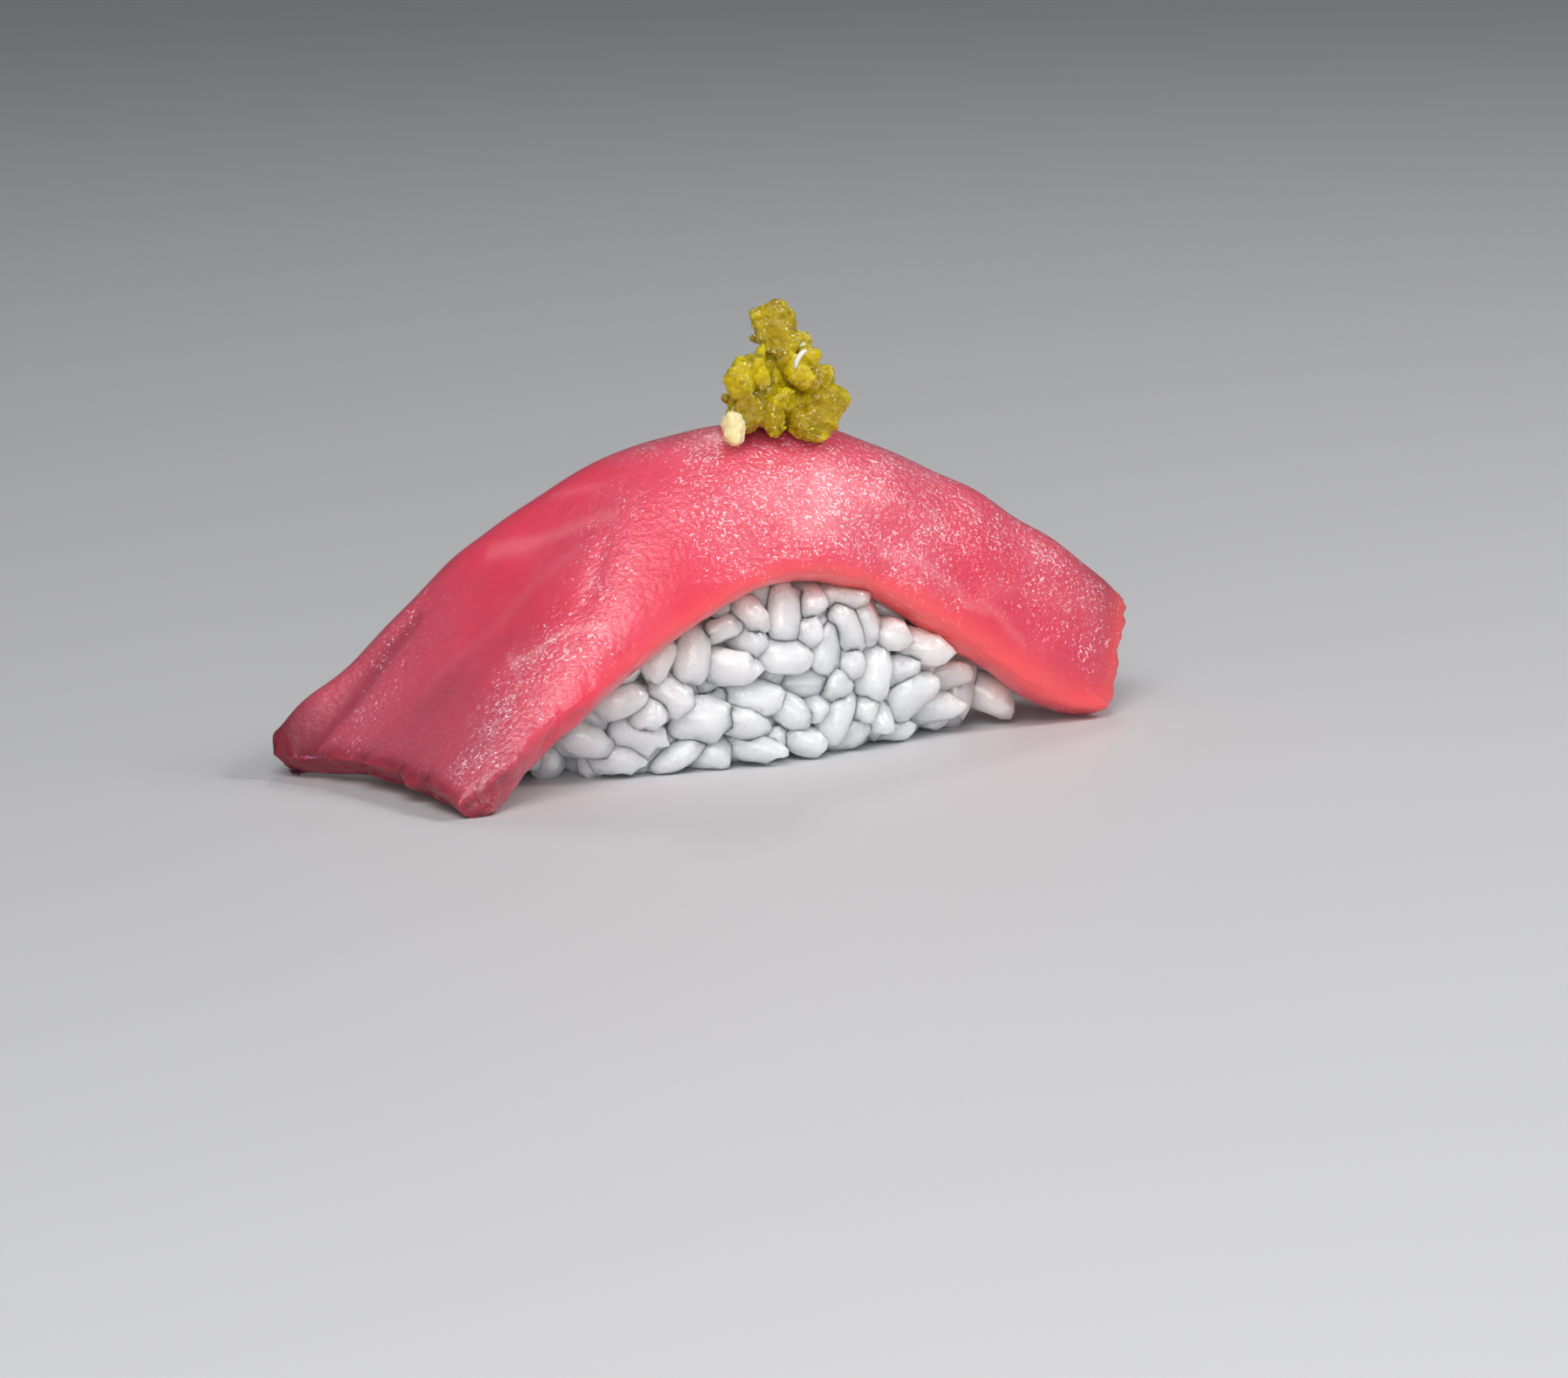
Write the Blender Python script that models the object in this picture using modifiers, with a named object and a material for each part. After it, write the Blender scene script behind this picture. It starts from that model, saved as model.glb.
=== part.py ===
"""Tuna nigiri: a slice of raw tuna draped over a pressed lump of rice, crowned with chopped wasabi.

Metres, +Z up. X runs along the lump and -Y is its front. The origin is the middle of the bounding
box's bottom face, on the board that the rice stands on. Four closed solids are made: tuna_slice,
rice_lump, wasabi_heap and stem_piece.
"""

import math

import bmesh
import bpy
from mathutils import Euler, Matrix, Vector, noise
from mathutils.bvhtree import BVHTree

MM = 0.001
GAP = 0.35 * MM
UP = Vector((0.0, 0.0, 1.0))
OBJECT_NAME = "tuna_nigiri"

# The slice's ridge, the highest line along it.
CROWN_X = -5.0 * MM
CROWN_HEIGHT = 31.4 * MM
RIDGE_ROUNDNESS = 60.0 * MM
RIDGE_REACH = {"left": 45.0 * MM, "right": 38.5 * MM}
RIDGE_DROP = {"left": 30.6 * MM, "right": 18.2 * MM}
RIDGE_Y = -1.5 * MM
RIDGE_DRIFT = 13.1 * MM
DRIFT_START_X = -9.0 * MM
DRIFT_ROUNDNESS = 8.0 * MM
DRIFT_REACH = 39.0 * MM

# The slice's front edge, which hangs lower than the ridge and comes down to the board at both ends.
FRONT_CROWN_X = -3.0 * MM
FRONT_CROWN_HEIGHT = 18.7 * MM
FRONT_ROUNDNESS = 12.0 * MM
FRONT_REACH = {"left": 37.5 * MM, "right": 31.5 * MM}
FRONT_DROP = {"left": 17.0 * MM, "right": 19.7 * MM}
FRONT_Y = -13.0 * MM
FRONT_LEAN = 0.11

# The slice's rear edge.
REAR_Y = 11.5 * MM
REAR_LEAN = -0.07
REAR_DROP = 10.0 * MM
REAR_LIFT = {"left": 0.62, "right": 0.05}

# The slice's ends, thickness and outline.
LEFT_CORNER_X = -40.4 * MM
LEFT_SKEW = 2.6 * MM
LOBE_REACH = 4.6 * MM
LOBE_SPREAD = 0.13
LOBE_REAR_CUT = 2.2 * MM
LEFT_END_TOP = 2.8 * MM
LEFT_END_SLOPE = 1.05
LEFT_END_BLEND = 2.5 * MM
RIGHT_END_X = 36.9 * MM
RIGHT_FRONT_CUT = 6.2 * MM
RIGHT_REAR_CUT = 2.5 * MM
TOE_HEIGHT = 1.0 * MM
TOE_BLEND = 1.2 * MM
CROSS_BOW = 2.2
SLICE_THICKNESS = 5.6 * MM
END_THINNING = 0.30
SIDE_THINNING = 0.35
RIM_CREASE = 0.5
EDGE_CREASE = 0.4
SLICE_ROWS = 22
SLICE_COLUMNS = 12
RIPPLE_DEPTH = 0.35 * MM
RIPPLE_LENGTH = 11.0 * MM

# The rice lump.
RICE_CENTRE = Vector((-5.2, 0.3, 10.4)) * MM
RICE_HALF = Vector((28.8, 12.1, 17.0)) * MM
RICE_POWER = 2.3
RICE_RINGS = 24
RICE_SPOKES = 44
GRAIN_LENGTH = 7.2 * MM
GRAIN_WIDTH_RATIO = 0.6
GRAIN_RELIEF = 1.4 * MM
CEILING_STEP = 1.0 * MM

# The wasabi heap: a round lump with lobes, each a direction, a reach and how far it spreads.
HEAP_PLACE = Vector((0.5, -2.0, 34.2)) * MM
HEAP_HALF = Vector((4.0, 4.0, 4.2)) * MM
HEAP_LOBES = (
    (Vector((0.0, 0.0, 1.0)), 4.0 * MM, 0.11),
    (Vector((0.84, -0.39, -0.30)), 2.8 * MM, 0.13),
    (Vector((-0.90, 0.42, -0.10)), 1.2 * MM, 0.20),
    (Vector((0.10, 0.95, -0.10)), 1.0 * MM, 0.40),
    (Vector((0.25, -0.80, -0.60)), 1.6 * MM, 0.15),
    (Vector((-0.70, -0.62, -0.35)), 1.5 * MM, 0.10),
)
HEAP_RELIEF = 1.2 * MM
HEAP_GRIT = 2.6 * MM
HEAP_FINENESS = 4

# The pale piece of stem at the heap's foot.
STEM_HALF = Vector((1.05, 0.85, 1.6)) * MM
STEM_PLACE = Vector((-6.3, -6.3, 31.7)) * MM
STEM_TILT = Euler((math.radians(-14), math.radians(12), math.radians(20)))
STEM_PINCH = 0.25


def clear_scene():
    """Removes every object, so that the script can run again in an open file."""
    for old in list(bpy.data.objects):
        bpy.data.objects.remove(old, do_unlink=True)


def food_material(name, colour, roughness, translucency):
    """A Principled material of one colour, a little translucent as moist food is."""
    made = bpy.data.materials.new(name)
    made.use_nodes = True
    shader = made.node_tree.nodes["Principled BSDF"]
    shader.inputs["Base Color"].default_value = (*colour, 1.0)
    shader.inputs["Roughness"].default_value = roughness
    shader.inputs["Metallic"].default_value = 0.0
    shader.inputs["Subsurface Weight"].default_value = translucency
    shader.inputs["Subsurface Scale"].default_value = 2 * MM
    made.diffuse_color = (*colour, 1.0)
    return made


def tuna_material():
    return food_material("tuna", (0.70, 0.06, 0.10), 0.3, 0.6)


def rice_material():
    return food_material("rice", (0.87, 0.87, 0.86), 0.35, 0.4)


def wasabi_material():
    return food_material("wasabi", (0.42, 0.36, 0.02), 0.25, 0.4)


def stem_material():
    return food_material("stem", (0.86, 0.74, 0.40), 0.3, 0.4)


def new_object(builder, name, collection, finish):
    """Turns a bmesh into a named object in the collection, shaded smooth, with its faces out."""
    bmesh.ops.recalc_face_normals(builder, faces=builder.faces)
    mesh = bpy.data.meshes.new(name)
    builder.to_mesh(mesh)
    builder.free()
    mesh.shade_smooth()
    mesh.materials.append(finish)
    made = bpy.data.objects.new(name, mesh)
    collection.objects.link(made)
    return made


def arch_share(distance, roundness, reach):
    """The share of an arch's drop at a distance from its crown: round at first, then straight."""
    fall = math.hypot(roundness, distance) - roundness
    return fall / (math.hypot(roundness, reach) - roundness)


def arch_height(x, crown_x, height, roundness, reach, drop):
    """The height over x of an arch whose two sides have their own reach and drop."""
    side = "right" if x > crown_x else "left"
    return height - drop[side] * arch_share(x - crown_x, roundness, reach[side])


def ease_onto_board(height):
    """Bends a falling line level as it nears the height at which the slice lies on the board."""
    above = height - TOE_HEIGHT
    return TOE_HEIGHT + 0.5 * (above + math.hypot(above, TOE_BLEND))


def ease_under(height, limit):
    """The lower of two heights, with a soft bend where they cross."""
    return 0.5 * (height + limit - math.hypot(height - limit, LEFT_END_BLEND))


def ridge_line(x):
    """(y, z) of the slice's ridge over x. It drifts to the rear towards the left end."""
    z = arch_height(x, CROWN_X, CROWN_HEIGHT, RIDGE_ROUNDNESS, RIDGE_REACH, RIDGE_DROP)
    past = max(DRIFT_START_X - x, 0.0)
    return RIDGE_Y + RIDGE_DRIFT * arch_share(past, DRIFT_ROUNDNESS, DRIFT_REACH), z


def front_line(x):
    """(y, z) of the top surface's front edge over x."""
    z = arch_height(
        x, FRONT_CROWN_X, FRONT_CROWN_HEIGHT, FRONT_ROUNDNESS, FRONT_REACH, FRONT_DROP
    )
    return FRONT_Y + FRONT_LEAN * x, z


def rear_line(x):
    """(y, z) of the top surface's rear edge over x. It nears the ridge's height at the left end."""
    side = "right" if x > CROWN_X else "left"
    from_crown = (x - CROWN_X) / RIDGE_REACH[side]
    fall = REAR_DROP * (1.0 - REAR_LIFT[side] * min(from_crown**2, 1.0))
    return REAR_Y + REAR_LEAN * x, ridge_line(x)[1] - fall


def slice_point(along, across):
    """A point of the top surface: along is 0 to 1, left to right, and across -1 to 1, front to rear."""
    to_front, to_rear = max(-across, 0.0), max(across, 0.0)
    lobe = LOBE_REACH * math.exp(-((to_front / LOBE_SPREAD) ** 2))
    left = LEFT_CORNER_X - LEFT_SKEW * (1.0 - to_front) - lobe + LOBE_REAR_CUT * to_rear**2
    right = RIGHT_END_X - RIGHT_FRONT_CUT * to_front**2 - RIGHT_REAR_CUT * to_rear**2
    x = left + (right - left) * along
    ridge_y, ridge_z = ridge_line(x)
    edge_y, edge_z = front_line(x) if across < 0 else rear_line(x)
    y = ridge_y + (edge_y - ridge_y) * abs(across)
    z = ridge_z - (ridge_z - edge_z) * abs(across) ** CROSS_BOW
    z = ease_under(z, LEFT_END_TOP + LEFT_END_SLOPE * (x - left))
    ripple = noise.noise(Vector((x, y, 0.0)) / RIPPLE_LENGTH)
    return Vector((x, y, ease_onto_board(z) + RIPPLE_DEPTH * ripple))


def apply_modifiers(made):
    """Gives an object the mesh that its modifiers make of it."""
    bpy.context.view_layer.update()
    graph = bpy.context.evaluated_depsgraph_get()
    mesh = bpy.data.meshes.new_from_object(made.evaluated_get(graph))
    made.modifiers.clear()
    made.data = mesh


def rest_on_board(made):
    """Flattens what would lie below the board's surface."""
    for vertex in made.data.vertices:
        vertex.co.z = max(vertex.co.z, 0.0)
    made.data.update()


def make_slice(collection):
    """The tuna slice: an arched sheet given its thickness downwards, with soft cut edges."""
    builder = bmesh.new()
    bmesh.ops.create_grid(builder, x_segments=SLICE_ROWS, y_segments=SLICE_COLUMNS, size=1.0)
    weights = builder.verts.layers.deform.verify()
    for vertex in builder.verts:
        end, side = vertex.co.x, vertex.co.y
        thinning = END_THINNING * abs(end) ** 3 + SIDE_THINNING * side**4 * (1.0 - end**2)
        vertex[weights][0] = 1.0 - thinning
        vertex.co = slice_point(0.5 * (end + 1.0), side)
    made = new_object(builder, "tuna_slice", collection, tuna_material())
    group = made.vertex_groups.new(name="thickness")
    solid = made.modifiers.new("thickness", "SOLIDIFY")
    solid.thickness = SLICE_THICKNESS
    solid.offset = -1.0
    solid.vertex_group = group.name
    solid.edge_crease_rim = RIM_CREASE
    solid.edge_crease_inner = solid.edge_crease_outer = EDGE_CREASE
    soften = made.modifiers.new("soften", "SUBSURF")
    soften.levels = soften.render_levels = 1
    apply_modifiers(made)
    rest_on_board(made)
    return made


def tree_of(made):
    """The faces of an object as a tree that rays can be cast at."""
    mesh = made.data
    corners = [vertex.co for vertex in mesh.vertices]
    return BVHTree.FromPolygons(corners, [tuple(face.vertices) for face in mesh.polygons])


def ceiling_over(point, cover):
    """The lowest height of a cover above a point and close around it, or None in the open."""
    hits = []
    for along, across in ((0, 0), (1, 0), (-1, 0), (0, 1), (0, -1)):
        start = Vector((point.x + along * CEILING_STEP, point.y + across * CEILING_STEP, -GAP))
        hits.append(cover.ray_cast(start, UP)[0])
    return min((hit.z for hit in hits if hit), default=None)


def height_on_top(point, ground):
    """The height of the highest surface under a point, or None where there is nothing."""
    hit = ground.ray_cast(Vector((point.x, point.y, 1.0)), -UP)[0]
    return hit.z if hit else None


def grain_relief(point):
    """The height of the grain-sized bumps at a point of the rice, as a share from -0.5 to 0.5."""
    cell = point / GRAIN_LENGTH
    cell.y /= GRAIN_WIDTH_RATIO
    cell.z /= GRAIN_WIDTH_RATIO
    nearest = noise.voronoi(cell)[0][0]
    return 0.5 - min(nearest, 1.0)


def make_rice(collection, cover):
    """The rice lump: a rounded loaf with bumps of grain size, level below, fitted under the slice."""
    builder = bmesh.new()
    bmesh.ops.create_uvsphere(
        builder, u_segments=RICE_SPOKES, v_segments=RICE_RINGS, radius=1.0
    )
    for vertex in builder.verts:
        way = vertex.co.copy()
        spread = sum(abs(part) ** RICE_POWER for part in way) ** (1.0 / RICE_POWER)
        reach = Vector((way.x * RICE_HALF.x, way.y * RICE_HALF.y, way.z * RICE_HALF.z)) / spread
        point = RICE_CENTRE + reach
        point += way * GRAIN_RELIEF * grain_relief(point)
        ceiling = ceiling_over(point, cover)
        if ceiling is not None:
            point.z = min(point.z, ceiling - GAP)
        point.z = max(point.z, 0.0)
        vertex.co = point
    return new_object(builder, "rice_lump", collection, rice_material())


def heap_reach(way):
    """How far the heap's surface lies from its middle in a direction, lobes and grit included."""
    reach = 0.0
    for direction, length, spread in HEAP_LOBES:
        turned = 1.0 - way.dot(direction.normalized())
        reach += length * math.exp(-turned / spread)
    return reach + HEAP_RELIEF * noise.noise(way * HEAP_HALF.x / HEAP_GRIT)


def make_heap(collection, ground):
    """The heap of chopped wasabi, standing on the slice, with its lobes and its tall top piece."""
    builder = bmesh.new()
    bmesh.ops.create_icosphere(builder, subdivisions=HEAP_FINENESS, radius=1.0)
    for vertex in builder.verts:
        way = vertex.co.normalized()
        body = Vector((way.x * HEAP_HALF.x, way.y * HEAP_HALF.y, way.z * HEAP_HALF.z))
        point = HEAP_PLACE + body + way * heap_reach(way)
        floor = height_on_top(point, ground)
        point.z = max(point.z, floor + GAP)
        vertex.co = point
    return new_object(builder, "wasabi_heap", collection, wasabi_material())


def make_stem(collection):
    """The pale piece of stem: a small block with worn corners, leaning at the heap's foot."""
    builder = bmesh.new()
    bmesh.ops.create_cube(builder, size=2.0)
    bmesh.ops.subdivide_edges(builder, edges=builder.edges, cuts=3, use_grid_fill=True)
    place = Matrix.Translation(STEM_PLACE) @ STEM_TILT.to_matrix().to_4x4()
    for vertex in builder.verts:
        rounded = vertex.co.normalized().lerp(vertex.co, 0.45)
        pinch = 1.0 - STEM_PINCH * rounded.z**2
        shaped = Vector((rounded.x * pinch, rounded.y * pinch, rounded.z))
        scaled = Vector((shaped.x * STEM_HALF.x, shaped.y * STEM_HALF.y, shaped.z * STEM_HALF.z))
        vertex.co = place @ scaled
    return new_object(builder, "stem_piece", collection, stem_material())


def centre_on_origin(pieces):
    """Moves the pieces together so that their box's bottom middle is the origin."""
    corners = [vertex.co for piece in pieces for vertex in piece.data.vertices]
    low = Vector(min(corner[axis] for corner in corners) for axis in range(3))
    high = Vector(max(corner[axis] for corner in corners) for axis in range(3))
    middle = (low + high) / 2
    shift = Matrix.Translation(Vector((-middle.x, -middle.y, -low.z)))
    for piece in pieces:
        piece.data.transform(shift)


def main():
    clear_scene()
    collection = bpy.data.collections.new(OBJECT_NAME)
    bpy.context.scene.collection.children.link(collection)
    tuna = make_slice(collection)
    tuna_faces = tree_of(tuna)
    rice = make_rice(collection, tuna_faces)
    heap = make_heap(collection, tuna_faces)
    stem = make_stem(collection)
    centre_on_origin([tuna, rice, heap, stem])


main()
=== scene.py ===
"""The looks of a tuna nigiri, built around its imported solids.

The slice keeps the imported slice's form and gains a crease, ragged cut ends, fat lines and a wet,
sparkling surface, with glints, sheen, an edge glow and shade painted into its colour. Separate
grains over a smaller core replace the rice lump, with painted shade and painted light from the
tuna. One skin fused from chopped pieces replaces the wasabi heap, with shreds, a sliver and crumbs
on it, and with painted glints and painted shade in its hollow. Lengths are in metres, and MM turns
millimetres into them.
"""

import logging
import math
import random
from dataclasses import dataclass, field
from enum import Enum

import bmesh
import bpy
import numpy as np
from mathutils import Euler, Matrix, Vector, noise
from mathutils.bvhtree import BVHTree
from mathutils.kdtree import KDTree


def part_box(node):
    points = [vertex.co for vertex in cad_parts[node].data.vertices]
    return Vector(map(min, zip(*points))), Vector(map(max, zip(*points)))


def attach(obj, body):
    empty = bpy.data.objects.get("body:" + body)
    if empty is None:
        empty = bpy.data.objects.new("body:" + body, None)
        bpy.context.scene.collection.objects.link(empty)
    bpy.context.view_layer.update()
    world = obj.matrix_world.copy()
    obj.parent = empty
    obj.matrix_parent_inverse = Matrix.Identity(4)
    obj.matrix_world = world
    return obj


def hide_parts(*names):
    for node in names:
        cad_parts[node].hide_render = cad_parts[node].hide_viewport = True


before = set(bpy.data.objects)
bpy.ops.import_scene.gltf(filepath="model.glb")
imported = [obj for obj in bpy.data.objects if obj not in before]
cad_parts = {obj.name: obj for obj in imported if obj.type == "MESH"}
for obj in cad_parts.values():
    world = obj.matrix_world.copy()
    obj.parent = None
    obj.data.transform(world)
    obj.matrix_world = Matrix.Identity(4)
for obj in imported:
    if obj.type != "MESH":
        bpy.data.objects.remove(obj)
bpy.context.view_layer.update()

MM = 0.001
UP = Vector((0.0, 0.0, 1.0))
BODY = "root"
LOG = logging.getLogger("nigiri")

Point = tuple[float, float, float]
Colour = tuple[float, float, float]
Stroke = tuple[tuple[float, float], tuple[float, float], float, float]

# The front's own axes: x to the right, y away and z up, seen from the camera's side.
FRONT = Matrix(((0.906, 0.423, 0.0), (-0.423, 0.906, 0.0), (0.0, 0.0, 1.0))).to_4x4()
AWAY = FRONT.col[1].to_3d()


class Slot(Enum):
    """The record's material slots."""

    TUNA = "tuna"
    RICE = "rice"
    WASABI = "wasabi"
    STEM = "stem"


class Node(Enum):
    """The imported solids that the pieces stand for."""

    SLICE = "tuna_slice"
    RICE = "rice_lump"
    HEAP = "wasabi_heap"
    STEM = "stem_piece"


# ---------------------------------------------------------------- shader tools


class Field:
    """A shader value that takes part in Python expressions. Each operator adds its Math node."""

    def __init__(self, graph: "Graph", socket: bpy.types.NodeSocket) -> None:
        """Wraps a socket of a graph."""
        self.graph = graph
        self.socket = socket

    def maths(self, operation: str, *values: "Field | float") -> "Field":
        """Adds a Math node.

        Args:
            operation: The node's operation.
            values: The node's inputs in order.

        Returns:
            The node's result.
        """
        sockets = dict(enumerate(values))
        node = self.graph.add("ShaderNodeMath", {"operation": operation}, sockets)
        return Field(self.graph, node.outputs[0])

    def __add__(self, other: "Field | float") -> "Field":
        """self + other."""
        return self.maths("ADD", self, other)

    def __radd__(self, other: float) -> "Field":
        """other + self."""
        return self.maths("ADD", other, self)

    def __sub__(self, other: "Field | float") -> "Field":
        """self - other."""
        return self.maths("SUBTRACT", self, other)

    def __rsub__(self, other: float) -> "Field":
        """other - self."""
        return self.maths("SUBTRACT", other, self)

    def __mul__(self, other: "Field | float") -> "Field":
        """self * other."""
        return self.maths("MULTIPLY", self, other)

    def __rmul__(self, other: float) -> "Field":
        """other * self."""
        return self.maths("MULTIPLY", other, self)

    def __truediv__(self, other: "Field | float") -> "Field":
        """self / other."""
        return self.maths("DIVIDE", self, other)

    def clamped(self) -> "Field":
        """This value held between 0 and 1."""
        node = self.graph.add("ShaderNodeClamp", sockets={"Value": self})
        return Field(self.graph, node.outputs[0])

    def smooth(self, low: float, high: float) -> "Field":
        """Eases from 0 where this value is low to 1 where it is high.

        Args:
            low: The value that gives 0. It may be above high.
            high: The value that gives 1.

        Returns:
            The eased value.
        """
        sockets = {"Value": self, "From Min": low, "From Max": high}
        settings = {"interpolation_type": "SMOOTHSTEP"}
        node = self.graph.add("ShaderNodeMapRange", settings, sockets)
        return Field(self.graph, node.outputs[0])


class Graph:
    """A material's nodes, with the Principled shader and the object's own coordinates."""

    def __init__(self, name: str) -> None:
        """Makes a new material of that name."""
        self.material = bpy.data.materials.new(name)
        self.material.use_nodes = True
        self.tree = self.material.node_tree
        self.shader = self.tree.nodes["Principled BSDF"]
        self.place = self.add("ShaderNodeTexCoord").outputs["Object"]
        parts = self.add("ShaderNodeSeparateXYZ", sockets={0: self.place}).outputs
        self.x, self.y, self.z = (Field(self, part) for part in parts)
        self.flat = self.vector("MULTIPLY", self.place, (1.0, 1.0, 0.0)).outputs[0]

    def add(
        self, kind: str, settings: dict | None = None, sockets: dict | None = None
    ) -> bpy.types.Node:
        """Adds a node.

        Args:
            kind: The node's type.
            settings: Its properties, set before its sockets.
            sockets: The values or links of its inputs, by name or by number.

        Returns:
            The node.
        """
        node = self.tree.nodes.new(kind)
        for name, value in (settings or {}).items():
            setattr(node, name, value)
        for name, value in (sockets or {}).items():
            self.feed(node.inputs[name], value)
        return node

    def feed(self, socket: bpy.types.NodeSocket, value: object) -> None:
        """Sets a socket to a number, a colour or a link."""
        if isinstance(value, Field):
            value = value.socket
        if isinstance(value, bpy.types.NodeSocket):
            self.tree.links.new(value, socket)
        elif isinstance(value, tuple) and socket.type == "RGBA" and len(value) == 3:
            socket.default_value = (*value, 1.0)
        else:
            socket.default_value = value

    def surface(self, **values: object) -> None:
        """Feeds the Principled shader, whose sockets' names have _ for each space."""
        for name, value in values.items():
            self.feed(self.shader.inputs[name.replace("_", " ")], value)

    def grain(self, size: float, detail: float = 2.0, stretch: Point = (1, 1, 1)) -> Field:
        """Noise from 0 to 1.

        Args:
            size: The size of its patches.
            detail: How many finer layers it has.
            stretch: How often it repeats along each axis, as a factor.

        Returns:
            The noise.
        """
        mapped = self.add("ShaderNodeMapping", sockets={"Vector": self.place, "Scale": stretch})
        sockets = {"Vector": mapped.outputs[0], "Scale": 1 / size, "Detail": detail}
        return Field(self, self.add("ShaderNodeTexNoise", sockets=sockets).outputs[0])

    def attribute(self, name: str) -> Field:
        """A number that the mesh holds at each vertex."""
        return Field(self, self.add("ShaderNodeAttribute", {"attribute_name": name}).outputs["Fac"])

    def mix(self, factor: "Field | float", first: object, second: object) -> bpy.types.NodeSocket:
        """A colour between two colours."""
        sockets = {0: factor, 6: first, 7: second}
        return self.add("ShaderNodeMix", {"data_type": "RGBA"}, sockets).outputs[2]

    def vector(self, operation: str, *values: object) -> bpy.types.Node:
        """Adds a Vector Math node on values in order."""
        return self.add("ShaderNodeVectorMath", {"operation": operation}, dict(enumerate(values)))

    def line(self, start: Point, end: Point, width: float, wobble: bpy.types.NodeSocket) -> Field:
        """A soft line seen from above.

        Args:
            start: One end, with z at 0.
            end: The other end, with z at 0.
            width: How far from the line it has faded.
            wobble: Coordinates to draw it in, with z at 0.

        Returns:
            1 on the line, falling to 0.
        """
        way = Vector(end) - Vector(start)
        from_start = self.vector("SUBTRACT", wobble, start).outputs[0]
        along = Field(self, self.vector("DOT_PRODUCT", from_start, tuple(way)).outputs["Value"])
        share = (along / way.length_squared).clamped()
        sockets = {0: tuple(way), "Scale": share}
        foot = self.add("ShaderNodeVectorMath", {"operation": "SCALE"}, sockets)
        gap = self.vector("DISTANCE", from_start, foot.outputs[0]).outputs["Value"]
        return Field(self, gap).smooth(width, 0.0)

    def strokes(
        self, drawn: tuple[Stroke, ...], start: float, wobble: bpy.types.NodeSocket
    ) -> "Field | float":
        """The sum of soft lines seen from above.

        Args:
            drawn: The lines: two ends and a width in millimetres, and a strength.
            start: What the sum starts from.
            wobble: Coordinates to draw them in, with z at 0.

        Returns:
            The sum.
        """
        total: Field | float = start
        for first, last, width, strength in drawn:
            ends = [(x * MM, y * MM, 0.0) for x, y in (first, last)]
            total = total + self.line(*ends, width * MM, wobble) * strength
        return total

    def bump(
        self, height: Field, depth: float, below: bpy.types.NodeSocket | None = None
    ) -> bpy.types.NodeSocket:
        """A Bump node.

        Args:
            height: The relief, from 0 to 1.
            depth: How deep the relief is.
            below: The normal of a coarser relief under this one.

        Returns:
            The bumped normal.
        """
        sockets = {"Height": height, "Distance": depth, "Strength": 1.0}
        if below is not None:
            sockets["Normal"] = below
        return self.add("ShaderNodeBump", sockets=sockets).outputs[0]


# ---------------------------------------------------------------- finishes


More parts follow.
